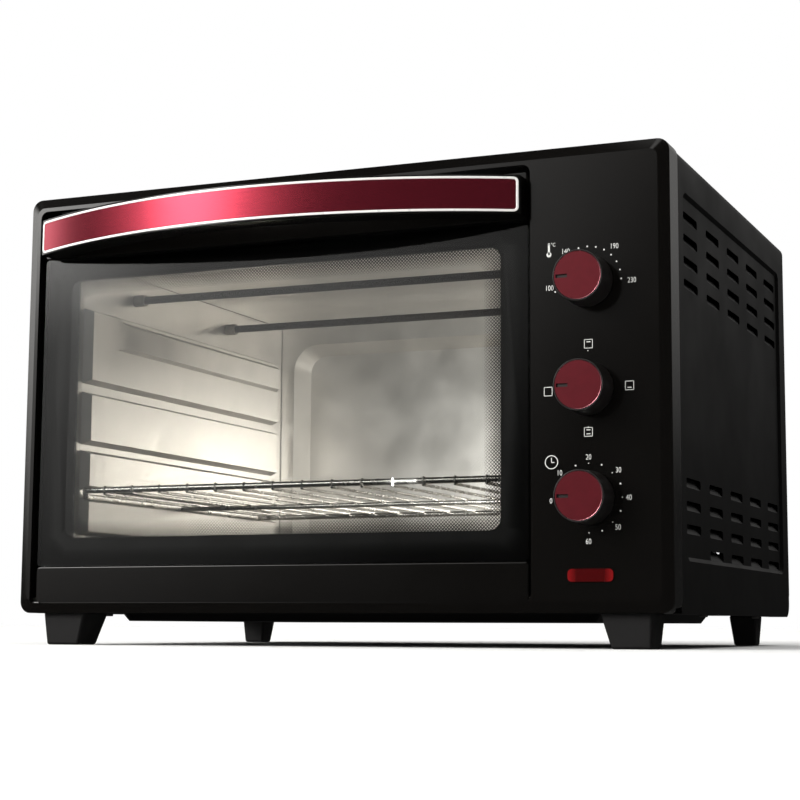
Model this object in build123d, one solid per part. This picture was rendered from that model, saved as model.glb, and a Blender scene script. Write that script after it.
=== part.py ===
from build123d import *
import math
import os

os.makedirs("parts", exist_ok=True)

# Electric countertop oven. Millimetres; X to the right, Y from the front to the back, Z up.
# The origin is the middle of the footprint, on the table that the oven stands on.

# Driving sizes
body_width = 540
body_height = 338
body_depth = 405
foot_height = 25
handle_reach = 62
spacer_depth = 12
sheet = 1.0
door_open_deg = 80

# Places that follow from them
overall_depth = handle_reach + body_depth + spacer_depth
front = handle_reach - overall_depth / 2
back = front + body_depth
base = foot_height
top = base + body_height
side = body_width / 2

# Fascia and door opening
fascia_depth = 26
border_width = 8
border_depth = 4
opening_left = -259
opening_right = 166
opening_bottom = base + 5.5
opening_top = base + 327
opening_corner = 6
flange_front = front + 14
flange_back = flange_front + 2.5

# Cavity
cavity_left = -230
cavity_right = 146
cavity_middle = (cavity_left + cavity_right) / 2
cavity_floor = base + 36
cavity_ceiling = base + 287
cavity_front = flange_back
cavity_back_y = front + 376
recess_depth = 20
recess_slope = 9

# Door
door_gap = 3
door_left = opening_left + door_gap
door_right = opening_right - door_gap
door_middle = (door_left + door_right) / 2
door_top = base + 323
hinge_y = front + 7
hinge_z = base + 10.5
hinge_edge = 3.5
door_face = hinge_y - hinge_edge
strip_top = base + 37
rail_bottom = base + 287
glass_front = front + 4.5
glass_thickness = 4
door_back = front + 12.5
window_left = door_middle - 186.5
window_right = door_middle + 186.5
window_bottom = base + 60
window_top = base + 269

# Controls
knob_x = 209.5
knob_z = (base + 237, base + 159, base + 81)
knob_names = ("thermostat", "function", "timer")
knob_radius = 18.5
knob_front = front - 24
shaft_radius = 3
bracket_front = front + 15


def block(x0, x1, y0, y1, z0, z1):
    centre = ((x0 + x1) / 2, (y0 + y1) / 2, (z0 + z1) / 2)
    return Pos(*centre) * Box(abs(x1 - x0), abs(y1 - y0), abs(z1 - z0))


def facing_front(x, y, z):
    """A plane at this point whose normal points to the front."""
    return Plane(origin=(x, y, z), x_dir=(1, 0, 0), z_dir=(0, -1, 0))


def panel(x0, x1, z0, z1, y0, y1, radius):
    """An upright plate with rounded corners, from y0 at its front to y1 at its back."""
    plane = facing_front((x0 + x1) / 2, y1, (z0 + z1) / 2)
    outline = plane * RectangleRounded(x1 - x0, z1 - z0, radius)
    return extrude(outline, amount=y1 - y0)


def rod_x(x0, x1, y, z, radius):
    return Pos((x0 + x1) / 2, y, z) * Rot(0, 90, 0) * Cylinder(radius, abs(x1 - x0))


def rod_y(x, y0, y1, z, radius):
    return Pos(x, (y0 + y1) / 2, z) * Rot(90, 0, 0) * Cylinder(radius, abs(y1 - y0))


def rod_z(x, y, z0, z1, radius):
    return Pos(x, y, (z0 + z1) / 2) * Cylinder(radius, abs(z1 - z0))


def mirrored(shape):
    return mirror(shape, about=Plane.YZ)


def group(shapes):
    return Compound(children=list(shapes))


def save(name, shape):
    shape.label = name
    export_step(shape, f"parts/{name}.step")


# Front fascia: one moulding with a chamfered border, the door opening and the control face
def front_fascia():
    rim_radius = 9
    wall = 4.5
    plate = 3
    face_width = body_width - 2 * border_width
    face_height = body_height - 2 * border_width
    middle_z = (base + top) / 2
    rim = panel(-side, side, base, top, front + border_depth, front + fascia_depth, rim_radius)
    rim_plane = facing_front(0, front + border_depth, middle_z)
    rim_outline = rim_plane * RectangleRounded(body_width, body_height, rim_radius)
    face_outline = facing_front(0, front, middle_z) * RectangleRounded(face_width, face_height, rim_radius - 3)
    shell = rim + loft([rim_outline, face_outline], ruled=True)
    shell -= panel(-side + wall, side - wall, base + wall, top - wall, front + plate, front + fascia_depth, 2)
    lip = 2.5
    shell += panel(opening_left - lip, opening_right + lip, opening_bottom - lip, opening_top + lip,
                   front + 0.5, flange_back, opening_corner + lip)
    shell -= panel(opening_left, opening_right, opening_bottom, opening_top,
                   front - 1, flange_front, opening_corner)
    sill = 6
    shell -= block(cavity_left, cavity_right, flange_front - 1, flange_back + 1,
                   cavity_floor + sill, cavity_ceiling)
    for x in (stay_left_x, stay_right_x):
        shell -= block(x - 1.5, x + 1.5, flange_front - 1, flange_back + 1,
                       hinge_z + stay_radius - stay_width, hinge_z + stay_radius + stay_width)
    for z in knob_z:
        shell -= rod_y(knob_x, front - 1, front + plate + 1, z, 5)
    shell -= lens_outline(lens_length + 0.4, lens_height + 0.4, front - 1, front + plate + 1)
    for x, z in bracket_screw_places():
        shell += rod_y(x, front + plate - 0.5, bracket_front, z, 4)
        shell -= rod_y(x, front + plate + 2, bracket_front + 1, z, 1.5)
    for wall, sign in ((opening_left, -1), (opening_right, 1)):
        shell -= rod_x(wall - sign, wall + sign * (lip + 3), hinge_y, hinge_z, pin_radius)
    return shell


# Indicator window and its lamp
lens_length = 33.5
lens_height = 9
lens_x = 210.5
lens_z = base + 26.6


def lens_outline(length, height, y0, y1):
    plane = facing_front(lens_x, y1, lens_z)
    return extrude(plane * RectangleRounded(length, height, 3), amount=y1 - y0)


def indicator_lens():
    window = lens_outline(lens_length, lens_height, front - 1.2, front + 3)
    flange = lens_outline(lens_length + 6, lens_height + 6, front + 3, front + 4.2)
    return window + flange


def indicator_lamp():
    holder = block(lens_x - 15, lens_x + 15, front + 4.2, front + 12, lens_z - 5, lens_z + 5)
    bulb = rod_x(lens_x - 9, lens_x + 9, front + 8, lens_z + 6.5, 2.5)
    tabs = [block(lens_x + dx - 0.4, lens_x + dx + 0.4, front + 12, front + 20, lens_z - 3, lens_z + 3)
            for dx in (-8, 8)]
    return holder + bulb + tabs[0] + tabs[1]


# Outer cabinet: one folded sheet over both sides and the top, with pressed louvres
louvre_pitch_y = 69.5
louvre_pitch_z = 16.8
louvre_length = 42
louvre_height = 7
louvre_rows = 4
louvre_columns = 5
louvre_first_y = front + 72
louvre_tops = (base + 295, base + 98)
cabinet_side = side - 1
cabinet_top = top - 1
press_depth = 2
press_front = front + 44
press_back = front + 382
press_bottom = base + 37.5
press_top = base + 308


def side_plane(x, y, z):
    """A plane on the right-hand side whose normal points outwards."""
    return Plane(origin=(x, y, z), x_dir=(0, 1, 0), z_dir=(1, 0, 0))


def louvre_places():
    for group_top in louvre_tops:
        for row in range(louvre_rows):
            for column in range(louvre_columns):
                yield louvre_first_y + column * louvre_pitch_y, group_top - row * louvre_pitch_z


def pressed_field(face_x, grow):
    """The shallow pressed field of the right-hand side: a slab with sloping edges."""
    middle_y = (press_front + press_back) / 2
    middle_z = (press_bottom + press_top) / 2
    length = press_back - press_front
    height = press_top - press_bottom
    outer = side_plane(face_x, middle_y, middle_z) * RectangleRounded(length + grow, height + grow, 8)
    inner = side_plane(face_x - press_depth, middle_y, middle_z) * RectangleRounded(
        length + grow - 2 * press_depth, height + grow - 2 * press_depth, 8 - press_depth / 2)
    return loft([outer, inner], ruled=True)


def cabinet_section():
    """The cabinet's cross-section, seen from the front: an upside-down U with a turned-in foot."""
    radius = 8
    outer = facing_front(0, back - 2, (base + cabinet_top) / 2) * Rectangle(2 * cabinet_side, cabinet_top - base)
    outer = fillet(outer.vertices().sort_by(Axis.Z)[-2:], radius)
    inner = facing_front(0, back - 2, (base + cabinet_top) / 2) * Rectangle(
        2 * (cabinet_side - sheet), cabinet_top - base - 2 * sheet)
    inner = fillet(inner.vertices().sort_by(Axis.Z)[-2:], radius - sheet)
    mouth = facing_front(0, back - 2, base) * Rectangle(2 * (cabinet_side - 14), 3 * sheet)
    return outer - inner - mouth


def outer_cabinet():
    length = back - 2 - (front + fascia_depth)
    shell = extrude(cabinet_section(), amount=length)
    corner = 12
    for sign in (-1, 1):
        outer = sign * (cabinet_side + 1)
        inner = sign * (cabinet_side - 16)
        cut = block(outer, inner, back - 2 - corner, back, base - 1, base + corner)
        keep = rod_x(outer + sign, inner - sign, back - 2 - corner, base + corner, corner)
        shell -= cut - keep
    dent = pressed_field(cabinet_side, 0)
    backing = pressed_field(cabinet_side - sheet, 1)
    right = backing - dent
    shell -= dent
    shell -= mirrored(dent)
    shell += right
    shell += mirrored(right)
    field_x = cabinet_side - press_depth
    slot = side_plane(field_x + 1, 0, 0) * SlotOverall(louvre_length, louvre_height)
    slot = extrude(slot, amount=-(sheet + 2))
    scoop = Rot(0, -30, 0) * Box(sheet, louvre_length - louvre_height / 2, louvre_height + 1)
    slots = []
    scoops = []
    for y, z in louvre_places():
        middle_z = z - louvre_height / 2
        slots.append(Pos(0, y, middle_z) * slot)
        scoops.append(Pos(field_x - 2.2, y, middle_z - 0.3) * scoop)
    shell -= slots + [mirrored(slot) for slot in slots]
    shell += scoops + [mirrored(scoop) for scoop in scoops]
    flange_width = 14
    flange = panel(-cabinet_side + sheet, cabinet_side - sheet, base + 12, cabinet_top - sheet,
                   back - 2 - sheet, back - 2, 7)
    flange -= panel(-cabinet_side + flange_width, cabinet_side - flange_width, base, cabinet_top - flange_width,
                    back - 4, back, 7)
    for x, z in rear_screw_places():
        flange -= rod_y(x, back - 4, back, z, 1.6)
    shell += flange
    for sign in (-1, 1):
        for y in cabinet_screw_y:
            shell -= rod_z(sign * cabinet_screw_x, y, base - 1, base + 2 * sheet, 2.2)
    return shell


cabinet_screw_x = cabinet_side - 8
cabinet_screw_y = (front + 121, front + 300)


# Base pan: stamped sheet with a drawn-down middle; its rim lies on the cabinet's turned-in feet
rim_z = base + sheet
draw_depth = 7


def base_pan():
    half = cabinet_side - sheet
    y0 = front + fascia_depth
    y1 = back - 14
    plate = block(-half, half, y0, y1, rim_z, rim_z + sheet)
    middle_y = (front + 42 + back - 30) / 2
    length = back - 30 - (front + 42)
    outline = Plane(origin=(0, middle_y, rim_z + sheet)) * RectangleRounded(408, length, 10)
    bottom = Plane(origin=(0, middle_y, rim_z - draw_depth)) * RectangleRounded(396, length - 12, 6)
    drawn = loft([outline, bottom], ruled=True)
    outline = Plane(origin=(0, middle_y, rim_z + sheet)) * RectangleRounded(406, length - 2, 9)
    bottom = Plane(origin=(0, middle_y, rim_z - draw_depth + sheet)) * RectangleRounded(394, length - 14, 5)
    hollow = loft([outline, bottom], ruled=True)
    pan = plate + drawn - hollow
    pan += block(-half, half, y0, y0 + sheet, rim_z, rim_z + 12)
    pan += block(-half, half, y1 - sheet, y1, rim_z, base + 13)
    pan += block(-half + 14, half - 14, y1 - sheet, back - 2, base + 12, base + 12 + sheet)
    for sign in (-1, 1):
        for y in cabinet_screw_y:
            pan -= rod_z(sign * cabinet_screw_x, y, rim_z - 1, rim_z + 2 * sheet, 1.7)
    for x, y in foot_places():
        pan -= rod_z(x, y, rim_z - 1, rim_z + 2 * sheet, 2.2)
    return pan


def screw(radius, length, head_radius, head_height):
    """A pan-head screw that points down from a head whose underside is at Z 0."""
    head = Pos(0, 0, head_height / 2) * Cylinder(head_radius, head_height)
    head = fillet(head.edges().sort_by(Axis.Z)[-1], head_height * 0.45)
    slot_length = head_radius * 1.1
    slot = Box(slot_length, 0.8, head_height) + Box(0.8, slot_length, head_height)
    slot = Pos(0, 0, head_height) * slot
    shank = Pos(0, 0, -length / 2) * Cylinder(radius, length)
    return head + shank - slot


def cabinet_screws():
    screws = []
    for sign in (-1, 1):
        for y in cabinet_screw_y:
            screws.append(Pos(sign * cabinet_screw_x, y, base) * Rot(180, 0, 0) * screw(1.7, 8, 3.2, 1.8))
    return group(screws)


# Feet: tapered moulded blocks, each held by a screw from inside the base pan
front_foot_bottom = (221, 250.3, front + 13, front + 40)
front_foot_top = (213.5, 252, front + 10, front + 46)
rear_foot_bottom = (231.5, 250.3, front + 346, front + 364)
rear_foot_top = (228, 252, front + 343, front + 368)
foot_screw_inset = 9


def foot(bottom, upper):
    """One foot of the right-hand side, from the footprints of its bottom and its top."""
    sections = []
    for (x0, x1, y0, y1), z in ((bottom, 0), (upper, base)):
        plane = Plane(origin=((x0 + x1) / 2, (y0 + y1) / 2, z))
        sections.append(plane * RectangleRounded(x1 - x0, y1 - y0, 2))
    body = loft(sections, ruled=True)
    x0, x1, y0, y1 = upper
    pad_front = max(y0, front + fascia_depth) + 1
    body += block(x0 + 4, x1 - 4, pad_front, y1 - 1, base - 1, base + sheet)
    return body - rod_z((x0 + x1) / 2, y1 - foot_screw_inset, base - 14, base + 2, 1.5)


def foot_places():
    for x0, x1, y0, y1 in (front_foot_top, rear_foot_top):
        for sign in (-1, 1):
            yield sign * (x0 + x1) / 2, y1 - foot_screw_inset


def foot_screws():
    return group([Pos(x, y, base + 2 * sheet) * screw(1.5, 14, 3.4, 2) for x, y in foot_places()])


# Rear cover: pressed sheet with vents, its screws, the wall spacers and the cord gland
gland_x = 205
gland_z = base + 60
gland_radius = 8
spacer_x = 236
spacer_z = base + 250


def rear_cover():
    cover = panel(-cabinet_side, cabinet_side, base + 12, cabinet_top, back - 2, back - 2 + sheet, 8)
    bulge_left = cavity_left + 14
    bulge_right = cavity_right - 6
    cover += panel(bulge_left, bulge_right, base + 50, base + 276, back - 2, back, 14)
    cover -= panel(bulge_left + 1, bulge_right - 1, base + 51, base + 275, back - 3, back - sheet, 13)
    vent_length = 46
    vent_middle = (bulge_left + bulge_right) / 2
    for column in range(2):
        for row in range(5):
            plane = facing_front(186 + column * 54, back + 1, base + 147 + row * 14)
            cover -= extrude(plane * SlotOverall(vent_length, 5), amount=4)
    for column in range(6):
        for row in range(3):
            plane = facing_front(vent_middle - 140 + column * 56, back + 1, base + 224 + row * 14)
            cover -= extrude(plane * SlotOverall(vent_length, 5), amount=4)
    cover -= rod_y(gland_x, back - 4, back + 1, gland_z, gland_radius)
    for x, z in rear_screw_places():
        cover -= rod_y(x, back - 4, back + 1, z, 2)
    for sign in (-1, 1):
        cover -= rod_y(sign * spacer_x, back - 4, back + 1, spacer_z, 2.2)
    return cover


def rear_screw_places():
    for z in (base + 30, base + 170, top - 24):
        for sign in (-1, 1):
            yield sign * (cabinet_side - 8), z


def rear_cover_screws():
    screws = []
    for x, z in rear_screw_places():
        screws.append(Pos(x, back - 2 + sheet, z) * Rot(-90, 0, 0) * screw(1.6, 8, 3.2, 1.8))
    return group(screws)


def wall_spacers():
    spacers = []
    for sign in (-1, 1):
        centre = (sign * spacer_x, spacer_z)
        wide = facing_front(centre[0], back - 2 + sheet, centre[1]) * Circle(15)
        narrow = facing_front(centre[0], back + spacer_depth, centre[1]) * Circle(11)
        cup = loft([wide, narrow], ruled=True)
        wide = facing_front(centre[0], back - 2 + sheet, centre[1]) * Circle(13)
        narrow = facing_front(centre[0], back + spacer_depth - 2, centre[1]) * Circle(9.4)
        cup -= loft([wide, narrow], ruled=True)
        stem = rod_y(centre[0], back - 8, back + spacer_depth - 2, centre[1], 2.1)
        spacers.append(cup + stem)
    return group(spacers)


def cord_gland():
    body = rod_y(gland_x, back - 9, back + 7, gland_z, gland_radius - 0.1)
    body += rod_y(gland_x, back - 2 + sheet, back + 2, gland_z, gland_radius + 3)
    body += rod_y(gland_x, back - 6, back - 2, gland_z, gland_radius + 1.5)
    body -= rod_y(gland_x, back - 10, back + 8, gland_z, 3.8)
    return body


# Cavity: folded liner with pressed shelf runners, and its pressed back
runner_bands = ((67, 89), (104, 128), (141, 176), (191, 245))
runner_front = cavity_front + 6
runner_back = front + 356
runner_rise = 8
runner_slope = 4
guide_band = (223, 241)
guide_front = front + 62
guide_rise = 4
guide_ramp = 15


def pressed_pad(x, rise, band, y0, ramp, shell):
    """One raised pad of the left wall, with sloping edges: its foot lies at x, its head rise further in.

    The head's lower and upper edges are the band above the base, and y0 is the foot's front end. With a
    shell the pad is drawn that much smaller all round, so that it is the hollow behind a pressed sheet.
    """
    z0 = base + band[0]
    z1 = base + band[1]
    sections = []
    for face_x, front_step, step, radius in ((x, 0, 0, 4), (x + rise, ramp, runner_slope, 3)):
        length = runner_back - y0 - front_step - step
        height = z1 - z0 + 2 * (runner_slope - step)
        middle_y = (y0 + front_step + runner_back - step) / 2
        plane = Plane(origin=(face_x - shell, middle_y, (z0 + z1) / 2), x_dir=(0, 1, 0), z_dir=(1, 0, 0))
        sections.append(plane * RectangleRounded(length - 1.5 * shell, height - 1.5 * shell, radius))
    return loft(sections, ruled=True)


def wall_pads(shell):
    head_x = cavity_left + runner_rise
    pads = []
    for band in runner_bands:
        pads.append(pressed_pad(cavity_left, runner_rise, band, runner_front, runner_slope, shell))
    return pads + [pressed_pad(head_x, guide_rise, guide_band, guide_front, guide_ramp, shell)]


def cavity_liner():
    outer = block(cavity_left - sheet, cavity_right + sheet, cavity_front, cavity_back_y,
                  cavity_floor - sheet, cavity_ceiling + sheet)
    liner = outer - block(cavity_left, cavity_right, cavity_front - 1, cavity_back_y + 1,
                          cavity_floor, cavity_ceiling)
    to_right = Plane(origin=(cavity_middle, 0, 0), z_dir=(1, 0, 0))
    pads = wall_pads(0)
    hollows = wall_pads(sheet)
    liner += pads + [mirror(pad, about=to_right) for pad in pads]
    liner -= hollows + [mirror(hollow, about=to_right) for hollow in hollows]
    for x in (cavity_left, cavity_right):
        for y, z in element_places():
            liner -= rod_x(x - 6, x + 6, y, z, bush_radius + 0.3)
    wall_reach = runner_rise + guide_rise + 2
    return liner - rod_x(cavity_right - wall_reach, cavity_right + 6, bulb_y, bulb_z, bulb_radius + 0.6)


def cavity_back():
    plate = block(cavity_left - sheet, cavity_right + sheet, cavity_back_y, cavity_back_y + sheet,
                  cavity_floor - sheet, cavity_ceiling + sheet)
    half_width = (cavity_right - cavity_left) / 2 - 14
    low = cavity_floor + 16
    high = base + 268.5

    def pressing(y0, y1, inset):
        sections = []
        for y, step in ((y0, inset), (y1, inset + recess_slope)):
            plane = facing_front(cavity_middle, y, (low + high) / 2)
            outline = RectangleRounded(2 * (half_width - step), high - low - 2 * step, 26 - step * 0.5)
            sections.append(plane * outline)
        return loft(sections, ruled=True)

    shape = plate + pressing(cavity_back_y, cavity_back_y + recess_depth + sheet, 0)
    return shape - pressing(cavity_back_y - 0.01, cavity_back_y + recess_depth, sheet)


# Heating elements: straight sheathed rods in ceramic bushes, two above and two below the rack
element_radius = 3.3
bush_radius = 5
bush_reach = 10
element_y = (front + 101, front + 262)
element_z = (base + 268, base + 48)


def element_places():
    for z in element_z:
        for y in element_y:
            yield y, z


def heating_element(y, z):
    rod = rod_x(cavity_left - 16, cavity_right + 16, y, z, element_radius)
    for x0, x1 in ((cavity_left - 28, cavity_left - 16), (cavity_right + 16, cavity_right + 28)):
        rod += rod_x(x0, x1, y, z, 1.6)
    return rod


def element_bushes():
    bushes = []
    for y, z in element_places():
        for x, sign in ((cavity_left, -1), (cavity_right, 1)):
            bush = rod_x(x + sign * sheet, x + sign * 12, y, z, bush_radius + 2)
            bush += rod_x(x - sign * bush_reach, x + sign * sheet, y, z, bush_radius)
            bush -= rod_x(x - sign * (bush_reach + 1), x + sign * 13, y, z, element_radius + 0.05)
            bushes.append(bush)
    return group(bushes)


# Wire rack: a thick frame with a raised front rod and thinner wires along it, carried by the lowest runners
rack_z = base + 94
rack_front = cavity_front + 10
rack_rear = cavity_front + 312
rack_half = 184
rack_rod = 2.5
rack_wire = 1.3
rack_pitch = 25.4
rack_wires = 14
rack_raise = 5
rack_travel = 105


def wire_rack():
    x0 = cavity_middle - rack_half
    x1 = cavity_middle + rack_half
    bend = 14
    frame_path = FilletPolyline((x0, rack_front, rack_z), (x0, rack_rear, rack_z), (x1, rack_rear, rack_z),
                                (x1, rack_front, rack_z), radius=bend)
    start = Plane(origin=frame_path @ 0, z_dir=frame_path % 0)
    rack = sweep(start * Circle(rack_rod), path=frame_path)
    front_z = rack_z + rack_raise
    rack += rod_x(x0, x1, rack_front, front_z, rack_rod)
    for x in (x0, x1):
        rack += rod_z(x, rack_front, rack_z, front_z, rack_rod)
        rack += Pos(x, rack_front, front_z) * Sphere(rack_rod)
        rack += Pos(x, rack_front, rack_z) * Sphere(rack_rod)
    rack += rod_x(x0, x1, (rack_front + rack_rear) / 2, rack_z - 1, rack_rod - 0.5)
    first = cavity_middle - rack_pitch * (rack_wires - 1) / 2
    wire_z = rack_z + 1.9
    tip_y = rack_front - 1.5
    tip_z = front_z + 2
    wires = []
    for index in range(rack_wires):
        x = first + index * rack_pitch
        wires.append(rod_y(x, tip_y, rack_rear + 1, wire_z, rack_wire))
        wires.append(rod_z(x, tip_y, wire_z, tip_z, rack_wire))
        wires.append(Pos(x, tip_y, wire_z) * Sphere(rack_wire))
        wires.append(Pos(x, tip_y, tip_z) * Sphere(rack_wire))
    return rack + wires


# Heat shield between the cavity and the controls
def heat_shield():
    x = cavity_right + 34
    y0 = front + 50
    y1 = back - 70
    shield = block(x, x + sheet, y0, y1, base + 2 * sheet, cabinet_top - sheet - 1)
    shield += block(x, x + 60, y0, y1, base + 2 * sheet, base + 3 * sheet)
    for row in range(3):
        for column in range(4):
            y = y0 + 20 + column * 66
            z = base + 250 + row * 14
            shield -= block(x - 1, x + 2, y, y + 40, z, z + 5)
    shield -= rod_x(x - 1, x + 2, bulb_y, bulb_z, 4)
    return shield


# Controls: bracket, thermostat with its sensing bulb, function switch and clockwork timer
bulb_y = front + 300
bulb_z = knob_z[0]
bulb_radius = 2.4
body_size = (42, 34, 38)
body_depths = (30, 26, 40)


def bracket_screw_places():
    for x in (175.5, 244.5):
        for z in (base + 42, base + 290):
            yield x, z


def control_bracket():
    plate = block(170, 250, bracket_front, bracket_front + 1.5, base + 36, base + 296)
    for z in knob_z:
        plate -= rod_y(knob_x, bracket_front - 1, bracket_front + 3, z, 5.2)
    for x, z in bracket_screw_places():
        plate -= rod_y(x, bracket_front - 1, bracket_front + 3, z, 2)
    plate += block(170, 171.5, bracket_front, bracket_front + 12, base + 36, base + 296)
    plate += block(248.5, 250, bracket_front, bracket_front + 12, base + 36, base + 296)
    return plate


def control_body(index):
    """A control's housing behind the bracket, with its threaded neck and bore."""
    z = knob_z[index]
    half = body_size[index] / 2
    y0 = bracket_front + 1.5
    y1 = y0 + body_depths[index]
    if index == 1:
        housing = rod_y(knob_x, y0, y1, z, half)
    else:
        housing = block(knob_x - half, knob_x + half, y0, y1, z - half, z + half)
    for dx in (-half * 0.5, half * 0.5):
        for dz in (-half * 0.4, half * 0.4):
            housing += block(knob_x + dx - 0.4, knob_x + dx + 0.4, y1, y1 + 9, z + dz - 3, z + dz + 3)
    neck = rod_y(knob_x, bracket_front - 8, y0, z, 5)
    bore = rod_y(knob_x, bracket_front - 9, y0 + 12, z, shaft_radius + 0.05)
    return housing + neck - bore


def control_nuts():
    nuts = []
    for z in knob_z:
        plane = facing_front(knob_x, bracket_front, z)
        nut = extrude(plane * RegularPolygon(7.5, 6), amount=3)
        nuts.append(nut - rod_y(knob_x, bracket_front - 4, bracket_front + 1, z, 5))
    return group(nuts)


def bracket_screws():
    screws = []
    for x, z in bracket_screw_places():
        screws.append(Pos(x, bracket_front + 1.5, z) * Rot(-90, 0, 0) * screw(1.4, 8, 3, 1.8))
    return group(screws)


def timer_bell():
    z = knob_z[2]
    y0 = bracket_front + 1.5 + body_depths[2] + 12
    wide = facing_front(knob_x, y0 + 12, z) * Circle(21)
    narrow = facing_front(knob_x, y0, z) * Circle(15)
    cup = loft([narrow, wide], ruled=True)
    wide = facing_front(knob_x, y0 + 12.01, z) * Circle(20)
    narrow = facing_front(knob_x, y0 + 1, z) * Circle(14)
    cup -= loft([narrow, wide], ruled=True)
    post = rod_y(knob_x, bracket_front + 1.5 + body_depths[2], y0 + 4, z, 2)
    return cup + post


def thermostat_bulb():
    """The sensing bulb across the cavity's right-hand wall and its thin tube to the thermostat."""
    end_x = cavity_right + 24
    bulb = rod_x(cavity_right - 26, end_x, bulb_y, bulb_z, bulb_radius)
    housing_back = bracket_front + 1.5 + body_depths[0]
    bend = (knob_x, bulb_y, bulb_z)
    path = FilletPolyline((end_x, bulb_y, bulb_z), bend, (knob_x, housing_back, bulb_z), radius=8)
    tube = sweep(Plane(origin=path @ 0, z_dir=path % 0) * Circle(0.9), path=path)
    return bulb + tube


def terminal_block():
    foot_z = base + 2 * sheet
    block_y = back - 52
    body = block(gland_x - 22, gland_x + 22, block_y - 8, block_y + 8, foot_z, foot_z + 14)
    for dx in (-14, 0, 14):
        body -= rod_z(gland_x + dx, block_y, base + 10, base + 20, 2.5)
        body += rod_z(gland_x + dx, block_y, base + 10, base + 13, 2.2)
    return body


# Hinge: brackets in the fascia's opening, pins, springs and the two curved door stays
pin_radius = 2
stay_left_x = (opening_left + cavity_left) / 2 - 2
stay_right_x = (opening_right + cavity_right) / 2
stay_radius = 66
stay_width = 5
stay_thickness = 1.5


def hinge_pin(sign):
    """A pin from the fascia's side wall into the door's bottom rail; sign is -1 for the left."""
    wall = opening_left if sign < 0 else opening_right
    return rod_x(wall + sign * 4, wall - sign * 16, hinge_y, hinge_z, pin_radius)


def hinge_bracket(sign):
    wall = opening_left if sign < 0 else opening_right
    outer = wall + sign * 2.5
    bracket = block(outer, outer + sign * 1.5, front + 4, front + 24, base + 4.5, base + 24)
    return bracket - rod_x(outer - sign, outer + sign * 3, hinge_y, hinge_z, pin_radius)


def door_springs():
    """Plain sleeves for the two extension springs, each behind a door stay, with a tab on the base pan."""
    springs = []
    for x, floor in ((stay_left_x, rim_z + sheet), (stay_right_x, rim_z - draw_depth + sheet)):
        y0 = hinge_y + stay_radius + 12
        y1 = y0 + 44
        z = hinge_z + 4
        coil = rod_y(x, y0, y1, z, 4) - rod_y(x, y0 - 1, y1 + 1, z, 2.8)
        anchor = block(x - 3, x + 3, y1, y1 + 2, floor, z + 4)
        springs.append(coil + anchor)
    return group(springs)


# Door: bottom and top rails, glass, inner frame, and the bowed handle
def door_bottom_rail():
    upper = block(door_left, door_right, door_face, door_face + 7, hinge_z, strip_top)
    rail = upper + rod_x(door_left, door_right, hinge_y, hinge_z, hinge_edge)
    rail &= panel(door_left, door_right, hinge_z - hinge_edge, strip_top + 10, door_face - 1, door_face + 9, 5)
    rail -= block(door_left + 22, door_right - 22, door_face + 2, door_face + 8, hinge_z - 1.5, strip_top - 3)
    for wall, sign in ((door_left, 1), (door_right, -1)):
        rail -= rod_x(wall - sign, wall + sign * 18, hinge_y, hinge_z, pin_radius + 0.05)
    return rail


def door_top_rail():
    rail = block(door_left, door_right, door_face, door_back, rail_bottom, door_top)
    rail -= block(door_left + 3, door_right - 3, door_face + 3, door_back + 1, rail_bottom - 1, door_top - 3)
    for x in handle_screw_x:
        rail += rod_y(x, door_face + 2, door_back - 2, handle_z, 5)
        rail -= rod_y(x, door_face - 1, door_back + 1, handle_z, 2.2)
    edges = rail.edges().filter_by(Axis.X).group_by(Axis.Y)[0]
    return fillet(edges, 1)


def door_glass():
    return panel(door_left + 0.5, door_right - 0.5, strip_top + 0.2, rail_bottom - 0.2,
                 glass_front, glass_front + glass_thickness, 3)


def door_inner_frame():
    y0 = glass_front + glass_thickness
    x0 = door_left + 3
    x1 = door_right - 3
    z0 = strip_top - 12
    z1 = rail_bottom + 29
    frame = panel(x0, x1, z0, z1, y0, door_back, 6)
    frame -= panel(x0 + sheet, x1 - sheet, z0 + sheet, z1 - sheet, y0 - 1, door_back - sheet, 5)
    rim = panel(window_left - 1, window_right + 1, window_bottom - 1, window_top + 1, y0, door_back, 9)
    frame += rim
    frame -= panel(window_left, window_right, window_bottom, window_top, y0 - 1, door_back + 1, 8)
    frame -= block(x0 - 1, x1 + 1, y0 - 1, door_back - sheet, rail_bottom - 0.1, z1 + 1)
    frame -= block(x0 - 1, x1 + 1, y0 - 1, door_face + 7, z0 - 1, strip_top + 0.1)
    for x in (stay_left_x, stay_right_x):
        frame -= block(x - stay_thickness / 2, x + stay_thickness / 2, door_back - 2, door_back + 1,
                       hinge_z + stay_radius - 6, hinge_z + stay_radius + 6)
    for x in handle_screw_x:
        frame -= rod_y(x, door_back - 2, door_back + 1, handle_z, 5)
    return frame


handle_half = 206
handle_low = base + 287.5
handle_high = base + 316.5
handle_z = (handle_low + handle_high) / 2
handle_end_reach = 12
trim_proud = 0.5
handle_bow = handle_reach - handle_end_reach - trim_proud
handle_bar = 20
handle_screw_x = (door_middle + 3.5 - 193, door_middle + 3.5 + 193)
handle_middle = door_middle + 3.5


def handle_arc_radius():
    return (handle_half ** 2 + handle_bow ** 2) / (2 * handle_bow)


def handle_centre_y():
    return front - handle_reach + trim_proud + handle_arc_radius()


def handle_ring(outward, inward, z0, z1):
    """A curved slab along the handle, from outward of its front face to inward of it."""
    radius = handle_arc_radius()
    ring = Cylinder(radius + outward, z1 - z0) - Cylinder(radius - inward, z1 - z0)
    return Pos(handle_middle, handle_centre_y(), (z0 + z1) / 2) * ring


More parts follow.
